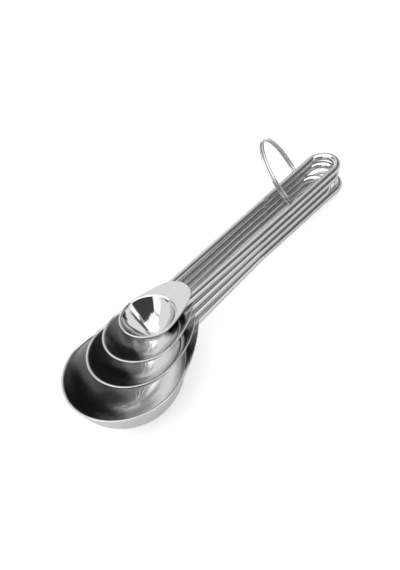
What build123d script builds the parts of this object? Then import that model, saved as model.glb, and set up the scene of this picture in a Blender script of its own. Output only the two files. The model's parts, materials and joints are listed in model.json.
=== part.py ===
from build123d import *
import os
from math import asin, atan2, cos, degrees, hypot, radians, sin, sqrt, tan

# A nested set of four round measuring spoons on a split ring, in millimetres.
# Each spoon is one stamped sheet, bowl and tab together, with a U of round wire welded under the tab.
# The set is drawn first in the stack frame: the grips of the handles lie level along X, their loops at
# the +X end, and the quarter teaspoon's bowl is centred on Z. Then it is laid on the table as it rests.

# Sheet and wire
SHEET = 0.6
WIRE_D = 2.8
WELD_SINK = 0.12        # how far the wire is flattened into the underside of the tab
EDGE_ROUND = 0.14       # worn edge of the sheet
RIM_FLAT = 0.3          # the flat rim round the mouth of a bowl, outside the bend
SHOULDER = 0.2          # inside of the bend between the flat rim and the bowl, under the rim

# How the spoons nest. The grips lie wire on wire, and in front of the bend each spoon leans down more
# than the one above it. Each bowl sits as far back in the next one as its wall allows.
STACK_GAP = 0.05        # air between one wire and the next in the grips
NEST_GAP = 0.25         # air between a bowl's wall and the mouth of the next bowl, at the rear
BEND_X = 48.5
LEAN_STEP = 1.1         # degrees from one spoon to the next
BEND_R = 60.0
GRIP_HALF = 5.43        # half the distance between the two legs, wire centre to wire centre
LEG_GAP = 1.2           # from the rim to the front end of a leg

# Each spoon, from the top of the stack down.
# rim_r is the round of the outline at the front, tab_r the round at the handle end, side_r the long
# curve that joins them. The section of a bowl is two arcs: the bottom turns up by bottom_turn degrees,
# and the wall goes on from there until it leans wall_lean degrees from upright, under the rim. The depth
# gives the bowl its volume.
SPOONS = {
    "quarter_teaspoon": dict(
        rim_r=10.0, depth=9.5, bottom_turn=43.0, wall_lean=25.0,
        tab_x=10.85, tab_r=7.0, side_r=51.0, tab_leg_half=5.2, loop_x=96.6,
    ),
    "half_teaspoon": dict(
        rim_r=13.4, depth=10.65, bottom_turn=41.0, wall_lean=35.0,
        tab_x=9.9, tab_r=7.95, side_r=36.5, tab_leg_half=5.3, loop_x=95.1,
    ),
    "teaspoon": dict(
        rim_r=16.5, depth=13.2, bottom_turn=37.0, wall_lean=31.0,
        tab_x=8.9, tab_r=8.4, side_r=33.5, tab_leg_half=5.5, loop_x=90.0,
    ),
    "tablespoon": dict(
        rim_r=21.5, depth=18.2, bottom_turn=42.0, wall_lean=10.0,
        tab_x=8.0, tab_r=9.75, side_r=61.0, tab_leg_half=5.8, loop_x=96.0,
    ),
}

# The split ring stands on the table round the +Y legs, two turns of thin wire side by side. It leans back
# towards the bowls, and on the bowls' side it comes up between the two legs of the handles.
RING_R = 13.85          # to the middle of the wire
RING_WIRE_D = 0.8
RING_TURN_GAP = 0.42    # air between the two turns
RING_JOGGLE = 10.0      # degrees each side of the place where the wire crosses to the second turn
RING_JOGGLE_AT = 41.0   # degrees from the ring's top to that place
RING_X = 78.4           # along the table, from the quarter teaspoon's bowl
RING_Y = 8.7
RING_TURNED = -42.3     # degrees about the upright, from square across the handles
RING_LEAN = 18.2        # degrees by which its top leans towards the bowls

OVERRUN = 5.0           # how far a cutter runs past what it cuts

WIRE_R = WIRE_D / 2
LEVEL = WIRE_D + STACK_GAP
TOP_WIRE_Z = -SHEET - WIRE_R + WELD_SINK
RING_PITCH = RING_WIRE_D + RING_TURN_GAP


def blend_centre(first, first_r, second, second_r, blend_r):
    """The centre of an arc that holds two circles and touches both, to the left of first to second."""
    apart = second - first
    first_reach, second_reach = blend_r - first_r, blend_r - second_r
    along = (first_reach ** 2 - second_reach ** 2 + apart.length ** 2) / (2 * apart.length)
    aside = sqrt(first_reach ** 2 - along ** 2)
    ahead = apart.normalized()
    return first + ahead * along + Vector(-ahead.Y, ahead.X) * aside


def arc_about(centre, radius, start, end):
    """The short arc of a circle from the direction of start to the direction of end."""
    first, last = (start - centre).normalized(), (end - centre).normalized()
    middle = (first + last).normalized()
    return ThreePointArc(centre + first * radius, centre + middle * radius, centre + last * radius)


def bowl_section(spoon):
    """
    The half section of a bowl, with X out from its axis and Y up from its rim. For the bottom, the wall
    and the bend under the rim it gives the centre and the radius of the sheet's inner face.
    """
    bend_r = SHOULDER + SHEET
    bend = Vector(spoon["rim_r"] - RIM_FLAT, -bend_r)
    turn, lean = radians(spoon["bottom_turn"]), radians(spoon["wall_lean"])
    inward = Vector(-cos(lean), sin(lean))
    lip = bend + inward * bend_r
    out, up = lip.X, lip.Y + spoon["depth"]
    turn_out, turn_up, wall_out, wall_up = sin(turn), 1 - cos(turn), cos(lean), 1 - sin(lean)
    share = turn_out * wall_up - wall_out * turn_up
    bottom_r = (out * (wall_up - turn_up) - up * (wall_out - turn_out)) / share
    wall_r = (up * turn_out - out * turn_up) / share
    bottom = Vector(0, bottom_r - spoon["depth"])
    return (bottom, bottom_r), (lip + inward * wall_r, wall_r), (bend, bend_r)


def bowl_form(spoon, grown, top):
    """The round form of a bowl, grown outwards from its inside, up to the rim and then to top."""
    (bottom, bottom_r), (wall, wall_r), (bend, bend_r) = bowl_section(spoon)
    turn = radians(spoon["bottom_turn"])
    join = bottom + Vector(sin(turn), -cos(turn)) * bottom_r
    low, high = Vector(0, -spoon["depth"] - grown), Vector(0, top)
    rim = bend + Vector(0, bend_r - grown)
    edges = [
        arc_about(bottom, bottom_r + grown, low, join),
        arc_about(wall, wall_r + grown, join, bend),
        arc_about(bend, bend_r - grown, wall, rim),
        Line(rim, Vector(rim.X, top)),
        Line(Vector(rim.X, top), high),
        Line(high, low),
    ]
    return Pos(spoon["bowl_x"], 0, 0) * revolve(Plane.XZ * make_face(edges), Axis.Z)


def bowl_places():
    """Sets each bowl's place along X: its bend lies close behind the wall of the bowl that sits in it."""
    above = None
    for spoon in SPOONS.values():
        spoon["bowl_x"] = 0.0
        if above:
            drop = LEVEL + (BEND_X - above["rim_r"] - above["bowl_x"]) * tan(radians(LEAN_STEP))
            _, (wall, wall_r), _ = bowl_section(above)
            _, _, (bend, bend_r) = bowl_section(spoon)
            reach = wall_r + SHEET + NEST_GAP + bend_r
            bend_x = wall.X + sqrt(reach ** 2 - (bend.Y - drop - wall.Y) ** 2)
            spoon["bowl_x"] = above["bowl_x"] + bend_x - bend.X
        above = spoon


def outline(spoon):
    """The flat shape of the sheet: rim round, long side curves and tab round, all tangent."""
    rim, tab = Vector(spoon["bowl_x"], 0), Vector(spoon["tab_x"], 0)
    side = blend_centre(rim, spoon["rim_r"], tab, spoon["tab_r"], spoon["side_r"])
    front, rear = Vector(rim.X - spoon["rim_r"], 0), Vector(tab.X + spoon["tab_r"], 0)
    half = [
        arc_about(rim, spoon["rim_r"], front, rim + rim - side),
        arc_about(side, spoon["side_r"], rim, tab),
        arc_about(tab, spoon["tab_r"], tab + tab - side, rear),
    ]
    return make_face(half + [edge.mirror(Plane.XZ) for edge in half])


def stamping(spoon):
    """The bowl and its tab, one sheet, with its top face at Z = 0."""
    sheet = Pos(0, 0, -SHEET) * extrude(outline(spoon), SHEET)
    sheet = fillet(sheet.edges().filter_by(Axis.Z, reverse=True), EDGE_ROUND)
    return sheet + bowl_form(spoon, SHEET, -SHEET / 2) - bowl_form(spoon, 0, OVERRUN)


def stack_place(level):
    """Carries what is drawn with the sheet's top at Z = 0 to its leaning place in the stack."""
    wire_z = TOP_WIRE_Z - level * LEVEL
    return Pos(BEND_X, 0, wire_z) * Rot(0, -level * LEAN_STEP, 0) * Pos(-BEND_X, 0, -TOP_WIRE_Z)


def wire_handle(spoon, level):
    """The U of wire: two legs from under the tab, a slight bend, and the round end of the loop."""
    wire_z = TOP_WIRE_Z - level * LEVEL
    half = spoon["tab_leg_half"]
    start_x = spoon["bowl_x"] + sqrt(spoon["rim_r"] ** 2 - half ** 2) + LEG_GAP
    start = (stack_place(level) * Pos(start_x, half, TOP_WIRE_Z)).position
    turn_x = spoon["loop_x"] - GRIP_HALF
    turn = Vector(turn_x, GRIP_HALF, wire_z)
    leg = FilletPolyline(start, Vector(BEND_X, GRIP_HALF, wire_z), turn, radius=BEND_R)
    loop_end = ThreePointArc(
        turn, Vector(spoon["loop_x"], 0, wire_z), Vector(turn_x, -GRIP_HALF, wire_z)
    )
    path = Wire(leg.edges() + [loop_end] + leg.mirror(Plane.XZ).edges())
    section = Plane(origin=path @ 0, z_dir=path % 0) * Circle(WIRE_R)
    return sweep(section, path=path)


def ring_path():
    """Two turns side by side about Z, the crossing between them on +X, from free end to free end."""
    low, high = -RING_PITCH / 2, RING_PITCH / 2
    quarter, half, whole = 90, 180, 360

    def on_turn(angle, height):
        return Vector(RING_R * cos(radians(angle)), RING_R * sin(radians(angle)), height)

    def turn(start, end, height):
        middle = (start + end) / 2
        return [
            ThreePointArc(on_turn(first, height), on_turn((first + last) / 2, height), on_turn(last, height))
            for first, last in ((start, middle), (middle, end))
        ]

    crossing = Vector(hypot(RING_R, high), 0, 0)
    leave, arrive = on_turn(-RING_JOGGLE, low), on_turn(RING_JOGGLE, high)
    edges = turn(RING_JOGGLE, whole - RING_JOGGLE, low)
    edges.append(TangentArc(leave, crossing, tangent=on_turn(quarter - RING_JOGGLE, 0)))
    edges.append(
        TangentArc(crossing, arrive, tangent=-on_turn(quarter + RING_JOGGLE, 0), tangent_from_first=False)
    )
    edges += turn(RING_JOGGLE, whole - RING_JOGGLE, high)
    return Wire(edges)


def least_gap(path):
    """The least air between one turn and the next, measured on points along the wire."""
    count = 240
    points = [path @ (i / count) for i in range(count + 1)]
    apart = count // 3
    spans = [(a - b).length for i, a in enumerate(points) for b in points[i + apart:]]
    return min(spans) - RING_WIRE_D


def ring_place(floor_z):
    """Where the ring stands on the table, with its axis from Z to along the handles."""
    lean = radians(RING_LEAN)
    up = RING_R * cos(lean) + RING_PITCH / 2 * sin(lean) + RING_WIRE_D / 2
    half_turn, quarter_turn = 180, 90
    stand = Rot(0, 0, RING_TURNED) * Rot(0, quarter_turn - RING_LEAN, 0)
    return Pos(RING_X, RING_Y, floor_z + up) * stand * Rot(0, 0, half_turn - RING_JOGGLE_AT)


def split_ring(floor_z):
    """The two turns of wire, in their place."""
    path = ring_path()
    print("split ring, least gap to itself", round(least_gap(path), 3), "mm")
    section = Plane(origin=path @ 0, z_dir=path % 0) * Circle(RING_WIRE_D / 2)
    return ring_place(floor_z) * sweep(section, path=path)


def bowl_ball():
    """The middle of the tablespoon's round bottom, in the stack frame, and its outer radius."""
    spoon = SPOONS["tablespoon"]
    level = len(SPOONS) - 1
    (bottom, bottom_r), _, _ = bowl_section(spoon)
    place = stack_place(level) * Pos(spoon["bowl_x"], 0, bottom.Y)
    return place.position, bottom_r + SHEET


def resting_slope():
    """The slope at which the set lies, on the tablespoon's bowl and on the end of its loop."""
    ball, ball_r = bowl_ball()
    along = SPOONS["tablespoon"]["loop_x"] - ball.X
    up = TOP_WIRE_Z - (len(SPOONS) - 1) * LEVEL - ball.Z
    return degrees(atan2(up, along) + asin((ball_r - WIRE_R) / hypot(along, up)))


def build():
    """Every piece in its place, and the move that puts the origin under the middle of the set."""
    bowl_places()
    laid = Rot(0, resting_slope(), 0)
    ball, ball_r = bowl_ball()
    floor_z = (laid * Pos(ball)).position.Z - ball_r
    pieces = {}
    for level, (name, spoon) in enumerate(SPOONS.items()):
        sheet = stack_place(level) * stamping(spoon)
        pieces[name + "_bowl"] = laid * sheet
        pieces[name + "_handle"] = laid * (wire_handle(spoon, level) - sheet)
    pieces["split_ring"] = split_ring(floor_z)
    boxes = [piece.bounding_box() for piece in pieces.values()]
    middle_x = (min(box.min.X for box in boxes) + max(box.max.X for box in boxes)) / 2
    middle_y = (min(box.min.Y for box in boxes) + max(box.max.Y for box in boxes)) / 2
    return pieces, Pos(-middle_x, -middle_y, -floor_z), floor_z


pieces, to_origin, floor_z = build()
os.makedirs("parts", exist_ok=True)
for name, piece in pieces.items():
    export_step(to_origin * piece, os.path.join("parts", name + ".step"))

ML = 1000
laid_to_origin = to_origin * Rot(0, resting_slope(), 0)
print("rests at", round(resting_slope(), 4), "degrees")
print("ring centre", [round(value, 4) for value in (to_origin * ring_place(floor_z)).position])
print("ring axis", [round(value, 5) for value in ring_place(floor_z).z_axis.direction])
for level, (name, spoon) in enumerate(SPOONS.items()):
    filled = split(bowl_form(spoon, 0, OVERRUN), bisect_by=Plane.XY, keep=Keep.BOTTOM)
    pivot = laid_to_origin * Pos(spoon["loop_x"], 0, TOP_WIRE_Z - level * LEVEL - WIRE_R)
    print(name, "holds", round(filled.volume / ML, 2), "ml, bowl at X", round(spoon["bowl_x"], 2))
    print(name, "lifts about", [round(value, 4) for value in pivot.position])
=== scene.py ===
import json
from math import asin, atan2, cos, hypot, pi, radians, sin, sqrt, tan

import bmesh
import bpy
from mathutils import Matrix, Vector


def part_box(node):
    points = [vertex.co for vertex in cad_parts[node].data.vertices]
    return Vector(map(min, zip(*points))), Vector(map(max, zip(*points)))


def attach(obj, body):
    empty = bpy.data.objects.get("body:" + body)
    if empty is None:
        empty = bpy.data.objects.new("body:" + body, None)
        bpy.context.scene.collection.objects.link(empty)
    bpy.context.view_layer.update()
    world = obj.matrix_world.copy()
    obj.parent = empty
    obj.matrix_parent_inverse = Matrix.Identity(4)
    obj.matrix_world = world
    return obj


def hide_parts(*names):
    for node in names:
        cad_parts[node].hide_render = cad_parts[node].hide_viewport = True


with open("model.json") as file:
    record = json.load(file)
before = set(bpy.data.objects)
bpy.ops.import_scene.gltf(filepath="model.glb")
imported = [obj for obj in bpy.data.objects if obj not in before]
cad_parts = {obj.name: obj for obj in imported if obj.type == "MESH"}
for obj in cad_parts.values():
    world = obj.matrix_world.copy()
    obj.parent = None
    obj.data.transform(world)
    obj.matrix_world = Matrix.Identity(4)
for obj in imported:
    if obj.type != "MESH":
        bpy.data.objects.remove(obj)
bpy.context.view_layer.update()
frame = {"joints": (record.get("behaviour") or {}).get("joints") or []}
bpy.ops.object.select_all(action="DESELECT")

# How the set lies
# The four spoons are nested and lie on a table: on the round bottom of the tablespoon's bowl, on the end
# of its loop and on the split ring. The sizes are in millimetres, as the maker would write them, and every
# spoon is drawn level, with the grips along X, before it is leaned and laid down with the rest.
MM = 0.001
SHEET = 0.6
WIRE_D = 2.8
WIRE_R = WIRE_D / 2
WELD_SINK = 0.12
WIRE_GAP = 0.05
LEVEL = WIRE_D + WIRE_GAP
TOP_WIRE_Z = -SHEET - WIRE_R + WELD_SINK
BEND_X = 48.5
LEAN_STEP = 1.1
RIM_FLAT = 0.3
SHOULDER = 0.2
NEST_GAP = 0.25
# For each bowl its rim and depth, how far its bottom arc turns and how far its wall leans, in degrees. For
# each tab the middle and the radius of its end and the radius of its sides. Then the legs and the loop.
SPOONS = {
    "quarter_teaspoon": dict(
        rim_r=10.0, depth=9.5, bottom_turn=43.0, wall_lean=25.0,
        tab_x=10.85, tab_r=7.0, side_r=51.0, tab_leg_half=5.2, loop_x=96.6,
    ),
    "half_teaspoon": dict(
        rim_r=13.4, depth=10.65, bottom_turn=41.0, wall_lean=35.0,
        tab_x=9.9, tab_r=7.95, side_r=36.5, tab_leg_half=5.3, loop_x=95.1,
    ),
    "teaspoon": dict(
        rim_r=16.5, depth=13.2, bottom_turn=37.0, wall_lean=31.0,
        tab_x=8.9, tab_r=8.4, side_r=33.5, tab_leg_half=5.5, loop_x=90.0,
    ),
    "tablespoon": dict(
        rim_r=21.5, depth=18.2, bottom_turn=42.0, wall_lean=10.0,
        tab_x=8.0, tab_r=9.75, side_r=61.0, tab_leg_half=5.8, loop_x=96.0,
    ),
}


def bowl_section(spoon):
    """
    The half section of a bowl, out from its axis and up from its rim. For the bottom, the wall and the
    bend under the rim it gives the centre and the radius of the sheet's inner face.
    """
    bend_r = SHOULDER + SHEET
    bend = Vector((spoon["rim_r"] - RIM_FLAT, -bend_r))
    turn, lean = radians(spoon["bottom_turn"]), radians(spoon["wall_lean"])
    inward = Vector((-cos(lean), sin(lean)))
    lip = bend + inward * bend_r
    out, up = lip.x, lip.y + spoon["depth"]
    turn_out, turn_up, wall_out, wall_up = sin(turn), 1 - cos(turn), cos(lean), 1 - sin(lean)
    share = turn_out * wall_up - wall_out * turn_up
    bottom_r = (out * (wall_up - turn_up) - up * (wall_out - turn_out)) / share
    wall_r = (up * turn_out - out * turn_up) / share
    bottom = Vector((0, bottom_r - spoon["depth"]))
    return (bottom, bottom_r), (lip + inward * wall_r, wall_r), (bend, bend_r)


above = None
for spoon in SPOONS.values():
    spoon["bowl_x"] = 0.0
    if above:
        drop = LEVEL + (BEND_X - above["rim_r"] - above["bowl_x"]) * tan(radians(LEAN_STEP))
        _, (wall, wall_r), _ = bowl_section(above)
        _, _, (bend, bend_r) = bowl_section(spoon)
        reach = wall_r + SHEET + NEST_GAP + bend_r
        bend_x = wall.x + sqrt(reach ** 2 - (bend.y - drop - wall.y) ** 2)
        spoon["bowl_x"] = above["bowl_x"] + bend_x - bend.x
    above = spoon


def stack_place(level):
    """The leaning place in the stack of what is drawn with the sheet's top at Z = 0."""
    wire_z = TOP_WIRE_Z - level * LEVEL
    lean = Matrix.Rotation(radians(-level * LEAN_STEP), 4, "Y")
    return Matrix.Translation((BEND_X, 0, wire_z)) @ lean @ Matrix.Translation((-BEND_X, 0, -TOP_WIRE_Z))


def set_at_rest():
    """The turn and the move that lay the whole stack on the table, in millimetres."""
    spoon = SPOONS["tablespoon"]
    level = len(SPOONS) - 1
    (bottom, bottom_r), _, _ = bowl_section(spoon)
    ball_r = bottom_r + SHEET
    ball = stack_place(level) @ Vector((spoon["bowl_x"], 0, bottom.y))
    along = spoon["loop_x"] - ball.x
    up = TOP_WIRE_Z - level * LEVEL - ball.z
    slope = atan2(up, along) + asin((ball_r - WIRE_R) / hypot(along, up))
    laid = Matrix.Rotation(slope, 4, "Y")
    low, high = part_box("quarter_teaspoon_handle")
    end = laid @ Vector((SPOONS["quarter_teaspoon"]["loop_x"], 0, TOP_WIRE_Z))
    move = ((high[0] / MM - WIRE_R - end.x), (low[1] + high[1]) / MM / 2, ball_r - (laid @ ball).z)
    return Matrix.Translation(move) @ laid


REST = set_at_rest()


# The four stampings
# Each is one disc of stainless sheet with a tab, drawn in a press into a round bowl with a narrow flat rim.
# The edge is sheared and tumbled, so it is rounded only a little.
EDGE_ROUND = 0.14
EDGE_SEGMENTS = 3
SHARP_EDGE = radians(60)
ROUND_STEPS = 160
SECTION_STEPS = 24, 40, 8
RIM_STEPS, SIDE_STEPS, TAB_STEPS = 46, 20, 28
SAME_POINT = 0.0005
LIFTED = 3.0
# How far a buffing line runs round, in radians, and the width of a fold for a bowl of radius 1.
LINE_TURN = 0.5
FOLD_WIDTH = 0.22
FOLD_MM = 0.08
SHEET_WAVE = 0.012
TOP_BOWL_DULL, BOWL_DULL = 0.07, 0.17


def pick(*pieces):
    """Selects only these pieces, and makes the last one active."""
    bpy.ops.object.select_all(action="DESELECT")
    for piece in pieces:
        piece.select_set(True)
    bpy.context.view_layer.objects.active = pieces[-1]


def lay_down(piece, place):
    """Moves a piece drawn in millimetres to its place on the table, in metres, and leaves it there."""
    piece.matrix_world = Matrix.Scale(MM, 4) @ place
    pick(piece)
    bpy.ops.object.transform_apply(location=True, rotation=True, scale=True)
    piece.select_set(False)


def start_point(at):
    """Starts a mesh with a single point, left selected in edit mode."""
    bpy.ops.mesh.primitive_plane_add(size=1.0, location=(0, 0, 0))
    bpy.ops.object.mode_set(mode="EDIT")
    bpy.ops.mesh.select_all(action="SELECT")
    bpy.ops.mesh.merge(type="CENTER")
    bpy.ops.transform.translate(value=at)
    return bpy.context.object


def spin_on(steps, turn, centre, axis):
    """Spins the selection on about an axis, by the right-hand rule."""
    bpy.ops.mesh.spin(steps=steps, angle=-turn, center=centre, axis=axis)


def select_where(piece, kind, test):
    """Selects the vertices or edges of a piece in edit mode that pass a test."""
    bpy.ops.mesh.select_all(action="DESELECT")
    mesh = bmesh.from_edit_mesh(piece.data)
    for item in getattr(mesh, kind):
        if test(item):
            item.select_set(True)
    mesh.select_flush_mode()
    bmesh.update_edit_mesh(piece.data)


def drawn_bowl(spoon):
    """Draws the half section of the bowl's inside, arc by arc, and spins it round the bowl's axis."""
    centres = [centre for centre, _ in bowl_section(spoon)]
    turn, upright = radians(spoon["bottom_turn"]), radians(90 - spoon["wall_lean"])
    piece = start_point((0, 0, -spoon["depth"]))
    for centre, steps, arc in zip(centres, SECTION_STEPS, (turn, upright - turn, -upright)):
        spin_on(steps, -arc, (centre.x, 0, centre.y), (0, 1, 0))
    bpy.ops.mesh.select_all(action="SELECT")
    spin_on(ROUND_STEPS, 2 * pi, (0, 0, 0), (0, 0, 1))
    bpy.ops.mesh.select_all(action="SELECT")
    bpy.ops.mesh.remove_doubles(threshold=SAME_POINT)
    return piece


def blend_centre(first, first_r, second, second_r, blend_r):
    """The centre of the arc that holds two circles and touches both, to the left of first to second."""
    apart = second - first
    first_reach, second_reach = blend_r - first_r, blend_r - second_r
    along = (first_reach ** 2 - second_reach ** 2 + apart.length ** 2) / (2 * apart.length)
    aside = sqrt(first_reach ** 2 - along ** 2)
    ahead = apart.normalized()
    return first + ahead * along + Vector((-ahead.y, ahead.x)) * aside


def flat_outline(spoon):
    """Draws the outline of the rim and tab round the bowl, from the front, lifted off the bowl's mouth."""
    rim, tab = Vector((0, 0)), Vector((spoon["tab_x"] - spoon["bowl_x"], 0))
    side = blend_centre(rim, spoon["rim_r"], tab, spoon["tab_r"], spoon["side_r"])
    far_side = Vector((side.x, -side.y))
    rim_end = atan2(rim.y - side.y, rim.x - side.x)
    tab_start = atan2(tab.y - side.y, tab.x - side.x)
    piece = start_point((-spoon["rim_r"], 0, LIFTED))
    arcs = (
        (rim, RIM_STEPS, pi + rim_end), (side, SIDE_STEPS, tab_start - rim_end),
        (tab, TAB_STEPS, -2 * tab_start),
        (far_side, SIDE_STEPS, tab_start - rim_end), (rim, RIM_STEPS, pi + rim_end),
    )
    for centre, steps, turn in arcs:
        spin_on(steps, turn, (centre.x, centre.y, 0), (0, 0, 1))
    bpy.ops.mesh.select_all(action="SELECT")
    bpy.ops.mesh.remove_doubles(threshold=SAME_POINT)
    bpy.ops.object.mode_set(mode="OBJECT")
    return piece


def apply_modifier(piece, kind, **settings):
    """Adds a modifier to a piece and applies it."""
    bpy.context.view_layer.objects.active = piece
    modifier = piece.modifiers.new(kind, kind)
    for name, value in settings.items():
        setattr(modifier, name, value)
    bpy.ops.object.modifier_apply(modifier=modifier.name)


def round_and_smooth(piece, width):
    """Rounds the sharp edges of a selected piece, and shades it smooth."""
    apply_modifier(
        piece, "BEVEL", width=width, segments=EDGE_SEGMENTS, limit_method="ANGLE", angle_limit=SHARP_EDGE
    )
    bpy.ops.object.shade_smooth()
    apply_modifier(piece, "WEIGHTED_NORMAL", keep_sharp=True)


def stamped_sheet(name, spoon):
    """The bowl and its tab, with the sheet's top at Z = 0 and the bowl's axis on Z."""
    bowl = drawn_bowl(spoon)
    bpy.ops.object.mode_set(mode="OBJECT")
    outline = flat_outline(spoon)
    pick(outline, bowl)
    bpy.ops.object.join()
    bowl.name = bowl.data.name = name
    bpy.ops.object.mode_set(mode="EDIT")
    select_where(bowl, "edges", lambda edge: edge.is_boundary or edge.is_wire)
    bpy.ops.mesh.bridge_edge_loops()
    select_where(bowl, "verts", lambda point: point.co.z > LIFTED / 2)
    bpy.ops.transform.translate(value=(0, 0, -LIFTED))
    bpy.ops.mesh.select_all(action="SELECT")
    bpy.ops.mesh.normals_make_consistent(inside=False)
    bpy.ops.object.mode_set(mode="OBJECT")
    if sum(face.normal.z for face in bowl.data.polygons) < 0:
        bowl.data.flip_normals()
    apply_modifier(bowl, "SOLIDIFY", thickness=SHEET, offset=-1.0, use_even_offset=True)
    round_and_smooth(bowl, EDGE_ROUND)
    return bowl


# The steel, of which the wires are made too, is bright-annealed, tumbled and buffed to a mirror, so it
# takes its look from what it reflects. Drawing leaves a slow waviness, and buffing fine lines and dull
# smears. Real lines are finer than a hundredth of a millimetre, and LINE_MM is as coarse as they need to
# be to show. LINE_HEIGHT is their height in millimetres.
STEEL, WORN_STEEL = "#D4D4D3", "#C2C2C1"
WAVE_MM = 7.0
LINE_MM = 0.35
LINE_HEIGHT = 0.00015
SMEAR_MM = 9.0
SMEAR_FADE = 0.35, 0.75
SMEAR_DULLER = 1.4
WORN_MM = SMEAR_MM / 4


def add_node(nodes, links, kind, inputs=(), **settings):
    """Adds a shader node with its settings, and links or sets its inputs."""
    node = nodes.new("ShaderNode" + kind)
    for name, value in settings.items():
        setattr(node, name, value)
    for name, value in dict(inputs).items():
        if isinstance(value, bpy.types.NodeSocket):
            links.new(value, node.inputs[name])
        else:
            node.inputs[name].default_value = value
    return node


def linear(hex_colour):
    """The linear colour of an sRGB hex value."""
    parts = [int(hex_colour[i:i + 2], 16) / 255 for i in (1, 3, 5)]
    return tuple(p / 12.92 if p <= 0.04045 else ((p + 0.055) / 1.055) ** 2.4 for p in parts) + (1.0,)


def frame_mm(nodes, links, place):
    """The point that is shaded, in millimetres, in a frame that is given by its matrix."""
    point = add_node(nodes, links, "TexCoord").outputs["Object"]
    mapping = add_node(
        nodes, links, "Mapping",
        {
            "Vector": point,
            "Location": place.translation * MM, "Rotation": place.to_euler(), "Scale": (MM, MM, MM),
        },
        vector_type="TEXTURE",
    )
    return mapping.outputs["Vector"]


def noise(nodes, links, place, stretch, detail):
    """Noise whose grains have the given sizes along X, Y and Z, in the units of the place."""
    scaled = add_node(nodes, links, "VectorMath", {0: place, 1: stretch}, operation="DIVIDE")
    grain = add_node(
        nodes, links, "TexNoise", {"Vector": scaled.outputs["Vector"], "Scale": 1.0, "Detail": detail}
    )
    return grain.outputs["Fac"]


def polished_steel(name, place, lines, dull, wave, flow=None):
    """
    Mirror steel with a pattern in the frame of its place. Dull is its roughness and wave the height of its
    slow waves in millimetres. The lines are its grain, and flow gives the broad folds that drawing leaves.
    """
    material = bpy.data.materials.new(name)
    material.use_nodes = True
    nodes, links = material.node_tree.nodes, material.node_tree.links
    shader = nodes["Principled BSDF"]
    point = frame_mm(nodes, links, place)
    smear = noise(nodes, links, point, (SMEAR_MM,) * 3, detail=5.0)
    rough = add_node(
        nodes, links, "MapRange",
        {
            "Value": smear, "From Min": SMEAR_FADE[0], "From Max": SMEAR_FADE[1],
            "To Min": dull, "To Max": dull * SMEAR_DULLER,
        },
    )
    normal = None
    waves = noise(nodes, links, point, (WAVE_MM,) * 3, detail=1.0)
    layers = [(waves, wave), (lines(nodes, links, point), LINE_HEIGHT)]
    if flow:
        layers.append(flow(nodes, links, point))
    for height, distance in layers:
        inputs = {"Height": height, "Strength": 1.0, "Distance": distance * MM}
        if normal:
            inputs["Normal"] = normal
        normal = add_node(nodes, links, "Bump", inputs).outputs["Normal"]
    worn = noise(nodes, links, point, (WORN_MM, LINE_MM, WORN_MM), detail=4.0)
    tone = add_node(
        nodes, links, "Mix", {"Factor": worn, "A": linear(STEEL), "B": linear(WORN_STEEL)}, data_type="RGBA"
    )
    links.new(tone.outputs["Result"], shader.inputs["Base Color"])
    shader.inputs["Metallic"].default_value = 1.0
    links.new(rough.outputs["Result"], shader.inputs["Roughness"])
    links.new(normal, shader.inputs["Normal"])
    return material


def round_lines(nodes, links, point):
    """Buffing lines that run round the axis of a bowl or a ring."""
    flat = add_node(nodes, links, "VectorMath", {0: point, 1: (1, 1, 0)}, operation="MULTIPLY")
    out = add_node(nodes, links, "VectorMath", {0: flat.outputs["Vector"]}, operation="LENGTH")
    parts = add_node(nodes, links, "SeparateXYZ", {"Vector": point})
    turned = add_node(
        nodes, links, "Math", {0: parts.outputs["Y"], 1: parts.outputs["X"]}, operation="ARCTAN2"
    )
    around = add_node(
        nodes, links, "CombineXYZ",
        {"X": out.outputs["Value"], "Y": parts.outputs["Z"], "Z": turned.outputs["Value"]},
    )
    return noise(nodes, links, around.outputs["Vector"], (LINE_MM, LINE_MM, LINE_TURN), detail=3.0)


def drawing_folds(nodes, links, point):
    """Shallow folds that run down the wall of a bowl, widest apart at the mouth."""
    flat = add_node(nodes, links, "VectorMath", {0: point, 1: (1, 1, 0)}, operation="MULTIPLY")
    ahead = add_node(nodes, links, "VectorMath", {0: flat.outputs["Vector"]}, operation="NORMALIZE")
    return noise(nodes, links, ahead.outputs["Vector"], (FOLD_WIDTH,) * 3, detail=1.0), FOLD_MM


# A buffed mirror: the top bowl shows the studio's panels with clear edges. The three larger bowls are a
# little duller, so the eye reads broad soft bands of light and dark that run down their walls.
for level, (name, spoon) in enumerate(SPOONS.items()):
    sheet = stamped_sheet(name + "_stamping", spoon)
    place = REST @ stack_place(level) @ Matrix.Translation((spoon["bowl_x"], 0, 0))
    lay_down(sheet, place)
    dull = BOWL_DULL if level else TOP_BOWL_DULL
    sheet.data.materials.append(
        polished_steel("buffed_sheet_of_" + name, place, round_lines, dull, SHEET_WAVE, drawing_folds)
    )
    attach(sheet, name)
    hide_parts(name + "_bowl")


# The four wire handles
# Each is one length of round stainless wire bent to a U, its two ends projection-welded under the tab. The
# legs lie wire on wire in the grips and lean a little where they run up to the tabs.
GRIP_HALF = 5.43
LEG_GAP = 1.2
BEND_R = 60.0
WIRE_SIDES = 40
BEND_STEPS, LOOP_STEPS = 6, 48
END_ROUND = 0.25
DIE_LINE_MM = 40.0
WIRE_DULL, WIRE_WAVE = 0.05, 0.003


def extrude_by(move):
    """Extrudes the selected section by a move."""
    bpy.ops.mesh.extrude_edges_move(TRANSFORM_OT_translate={"value": tuple(move)})


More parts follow.
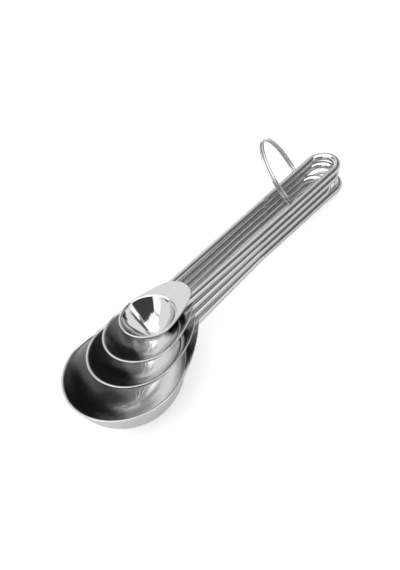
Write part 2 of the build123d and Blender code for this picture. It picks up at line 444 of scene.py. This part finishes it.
def bent_wire(name, spoon, level):
    """The U of wire, drawn from the far weld round the loop to the near weld, in the stack frame."""
    lean = radians(level * LEAN_STEP)
    wire_z = TOP_WIRE_Z - level * LEVEL
    half = spoon["tab_leg_half"]
    start_x = spoon["bowl_x"] + sqrt(spoon["rim_r"] ** 2 - half ** 2) + LEG_GAP
    start = stack_place(level) @ Vector((start_x, half, TOP_WIRE_Z))
    turn_x = spoon["loop_x"] - GRIP_HALF
    reach = BEND_R * tan(lean / 2)
    bend_start = Vector((BEND_X - reach * cos(lean), GRIP_HALF, wire_z - reach * sin(lean)))
    grip = turn_x - BEND_X - reach
    bend_centre = (BEND_X + reach, 0, wire_z - BEND_R)
    bpy.ops.mesh.primitive_circle_add(
        vertices=WIRE_SIDES, radius=WIRE_R, fill_type="NOTHING",
        location=start, rotation=(0, pi / 2 - lean, 0),
    )
    wire = bpy.context.object
    wire.name = wire.data.name = name
    bpy.ops.object.transform_apply(location=True, rotation=True, scale=True)
    bpy.ops.object.mode_set(mode="EDIT")
    bpy.ops.mesh.select_all(action="SELECT")
    leg = bend_start - start
    extrude_by(leg)
    if level:
        spin_on(BEND_STEPS, lean, bend_centre, (0, 1, 0))
    extrude_by((grip, 0, 0))
    spin_on(LOOP_STEPS, -pi, (turn_x, 0, 0), (0, 0, 1))
    extrude_by((-grip, 0, 0))
    if level:
        spin_on(BEND_STEPS, -lean, bend_centre, (0, 1, 0))
    extrude_by((-leg.x, leg.y, -leg.z))
    bpy.ops.mesh.select_all(action="SELECT")
    bpy.ops.mesh.remove_doubles(threshold=SAME_POINT)
    select_where(wire, "edges", lambda edge: edge.is_boundary)
    bpy.ops.mesh.edge_face_add()
    bpy.ops.mesh.select_all(action="SELECT")
    bpy.ops.mesh.normals_make_consistent(inside=False)
    bpy.ops.object.mode_set(mode="OBJECT")
    round_and_smooth(wire, END_ROUND)
    return wire


def drawn_lines(nodes, links, point):
    """The die's lines along the wire."""
    return noise(nodes, links, point, (DIE_LINE_MM, LINE_MM, LINE_MM), detail=2.0)


# A clear mirror wrapped round the wire: the eye sees thin straight lines of light and dark on every leg.
wire_steel = polished_steel("buffed_wire", REST, drawn_lines, WIRE_DULL, WIRE_WAVE)
for level, (name, spoon) in enumerate(SPOONS.items()):
    wire = bent_wire(name + "_wire", spoon, level)
    lay_down(wire, REST)
    wire.data.materials.append(wire_steel)
    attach(wire, name)
    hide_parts(name + "_handle")


# The split ring
# Two turns of bright spring wire, side by side, in one length: near the top the wire crosses from the first
# turn to the second, between the two cut ends. It stands on the table, round the far legs of the handles.
RING_OUTER_R = 14.25
RING_WIRE_R = 0.49
RING_PITCH = 1.02
RING_JOGGLE = 10.0
RING_JOGGLE_AT = 41.0
RING_TURNED = -42.3
RING_LEAN = 18.2
RING_STEP = 3.0
RING_ROUNDNESS, RING_SMOOTHNESS = 6, 3
RING_DULL, RING_WAVE = 0.2, 0.004
RING_JOINT = next(joint for joint in frame["joints"] if joint["child"] == "ring")


def ring_wire():
    """Both turns as one curve with a round section, about Z, with the crossing on +X."""
    middle_r = RING_OUTER_R - RING_WIRE_R
    curve = bpy.data.curves.new("split_ring_wire", "CURVE")
    curve.dimensions = "3D"
    curve.bevel_depth = RING_WIRE_R
    curve.bevel_resolution = RING_ROUNDNESS
    curve.resolution_u = RING_SMOOTHNESS
    curve.use_fill_caps = True
    line = curve.splines.new("NURBS")
    first, last = RING_JOGGLE, 2 * 360 - RING_JOGGLE
    count = int((last - first) / RING_STEP) + 1
    line.points.add(count - 1)
    for i, point in enumerate(line.points):
        angle = first + (last - first) * i / (count - 1)
        across = min(max((angle - 360) / RING_JOGGLE, -1), 1)
        height = RING_PITCH / 2 * sin(across * pi / 2)
        point.co = (middle_r * cos(radians(angle)), middle_r * sin(radians(angle)), height, 1)
    line.order_u = 4
    line.use_endpoint_u = True
    ring = bpy.data.objects.new("split_ring_wire", curve)
    bpy.context.scene.collection.objects.link(ring)
    pick(ring)
    bpy.ops.object.convert(target="MESH")
    bpy.ops.object.shade_smooth()
    return ring


ring = ring_wire()
stand = Matrix.Rotation(radians(RING_TURNED), 4, "Z") @ Matrix.Rotation(radians(90 - RING_LEAN), 4, "Y")
middle = Matrix.Translation(Vector(RING_JOINT["pos_m"]) / MM)
ring_stand = middle @ stand @ Matrix.Rotation(radians(180 - RING_JOGGLE_AT), 4, "Z")
lay_down(ring, ring_stand)
# Bright but not buffed: a softer, greyer shine, by which the thin ring stands out from the white.
ring.data.materials.append(
    polished_steel("bright_spring_wire", ring_stand, round_lines, RING_DULL, RING_WAVE)
)
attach(ring, "ring")
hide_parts("split_ring")


# The table and the light
# A white sweep in a small studio: the set lies on it and keeps a soft shadow. A large soft box hangs
# overhead. Low panels stand on the far side and to the left and right of the camera, and round the camera
# the room is dark, so the steel takes hard contrasts of light and dark.
FLOOR_SIZE = 6.0
FLOOR_TONE = 0.6
FLOOR_ROUGH = 0.9
FLOOR_SEEN, FLOOR_IN_STEEL = 0.58, 0.2
ROOM = 0.5
PANEL_EDGE = 4.0
PANELS = (
    # brightness, then the azimuth and elevation of each corner in degrees; a later panel hides an earlier
    (1.2, (33, -6), (163, -6), (163, 13), (98, 28), (33, 13)),
    (0.33, (64, 26), (120, 26), (118, 44), (66, 44)),
    (1.15, (26, 24), (60, 24), (62, 50), (22, 50)),
    (0.2, (-65, -5), (55, -5), (55, 17), (-5, 30), (-65, 17)),
    (0.18, (-64, 15), (-28, 15), (-22, 50), (-66, 50)),
    (0.075, (-157, -20), (-79, -20), (-79, 40), (-118, 50), (-157, 40)),
    (1.7, (161, 0), (203, 0), (203, 34), (161, 34)),
    (1.7, (-77, -12), (-60, -12), (-60, 22), (-77, 22)),
    (1.95, (-156, 36), (-64, 31), (60, 48), (130, 28)),
)


def towards(azimuth, elevation):
    """The direction of an azimuth and an elevation in degrees."""
    around, up = radians(azimuth), radians(elevation)
    return Vector((cos(around) * cos(up), sin(around) * cos(up), sin(up)))


def panel_mask(nodes, links, direction, corners):
    """How far a direction lies inside a panel, from 0 to 1. The light's edge is soft."""
    corners = [towards(*corner) for corner in corners]
    middle = sum(corners, Vector())
    soft = sin(radians(PANEL_EDGE / 2))
    mask = 1.0
    for corner, after in zip(corners, corners[1:] + corners[:1]):
        inward = corner.cross(after).normalized()
        inward *= 1 if inward.dot(middle) > 0 else -1
        depth = add_node(nodes, links, "VectorMath", {0: direction, 1: inward}, operation="DOT_PRODUCT")
        inside = add_node(
            nodes, links, "MapRange", {"Value": depth.outputs["Value"], "From Min": -soft, "From Max": soft},
            interpolation_type="SMOOTHSTEP",
        )
        both = add_node(nodes, links, "Math", {0: mask, 1: inside.outputs["Result"]}, operation="MULTIPLY")
        mask = both.outputs["Value"]
    return mask


def studio():
    """The light from every side: an even grey room with the panels laid over it, one after another."""
    world = bpy.data.worlds.new("studio")
    world.use_nodes = True
    nodes, links = world.node_tree.nodes, world.node_tree.links
    direction = add_node(nodes, links, "TexCoord").outputs["Generated"]
    light = ROOM
    for brightness, *corners in PANELS:
        mask = panel_mask(nodes, links, direction, corners)
        mixed = add_node(
            nodes, links, "Mix", {"Factor": mask, "A": light, "B": brightness}, data_type="FLOAT"
        )
        light = mixed.outputs["Result"]
    links.new(light, nodes["Background"].inputs["Color"])
    nodes["Background"].inputs["Strength"].default_value = 1.0
    return world


def white_sweep():
    """
    A matt floor that takes the set's shadow, with a glow for the camera and for the steel. The eye sees pure
    white round the set, and under it a shadow that fades out softly.
    """
    paint = bpy.data.materials.new("white_sweep")
    paint.use_nodes = True
    nodes, links = paint.node_tree.nodes, paint.node_tree.links
    shader = nodes["Principled BSDF"]
    shader.inputs["Base Color"].default_value = (FLOOR_TONE, FLOOR_TONE, FLOOR_TONE, 1)
    shader.inputs["Roughness"].default_value = FLOOR_ROUGH
    shader.inputs["Specular IOR Level"].default_value = 0.0
    rays = add_node(nodes, links, "LightPath")
    amount = add_node(
        nodes, links, "MapRange",
        {"Value": rays.outputs["Is Camera Ray"], "To Min": FLOOR_IN_STEEL, "To Max": FLOOR_SEEN},
    )
    seen = add_node(
        nodes, links, "Math",
        {0: rays.outputs["Is Camera Ray"], 1: rays.outputs["Is Glossy Ray"]}, operation="MAXIMUM",
    )
    glow = add_node(
        nodes, links, "Math", {0: amount.outputs["Result"], 1: seen.outputs["Value"]}, operation="MULTIPLY"
    )
    shader.inputs["Emission Color"].default_value = (1, 1, 1, 1)
    links.new(glow.outputs["Value"], shader.inputs["Emission Strength"])
    return paint


bpy.ops.mesh.primitive_plane_add(size=FLOOR_SIZE, location=(0, 0, 0))
floor = bpy.context.object
floor.name = "floor"
floor.data.materials.append(white_sweep())
bpy.context.scene.world = studio()


# The camera
# It stands under half a metre from the set and looks down on it from the bowls' near side, rolled so that
# the handles run up to the right.
CAMERA_AT = Vector((-0.144974, -0.253988, 0.349839))
CAMERA_AZIMUTH, CAMERA_ELEVATION, CAMERA_ROLL = -28.673, 48.903, -26.1
CAMERA_LENS = 81.28
CAMERA_SENSOR = 36.0
camera_data = bpy.data.cameras.new("camera")
camera_data.lens = CAMERA_LENS
camera_data.sensor_width = CAMERA_SENSOR
camera = bpy.data.objects.new("camera", camera_data)
bpy.context.scene.collection.objects.link(camera)
camera.matrix_world = (
    Matrix.Translation(CAMERA_AT)
    @ Matrix.Rotation(radians(CAMERA_AZIMUTH), 4, "Z")
    @ Matrix.Rotation(radians(90 - CAMERA_ELEVATION), 4, "X")
    @ Matrix.Rotation(radians(CAMERA_ROLL), 4, "Z")
)
bpy.context.scene.camera = camera
bpy.context.scene.view_settings.view_transform = "Standard"
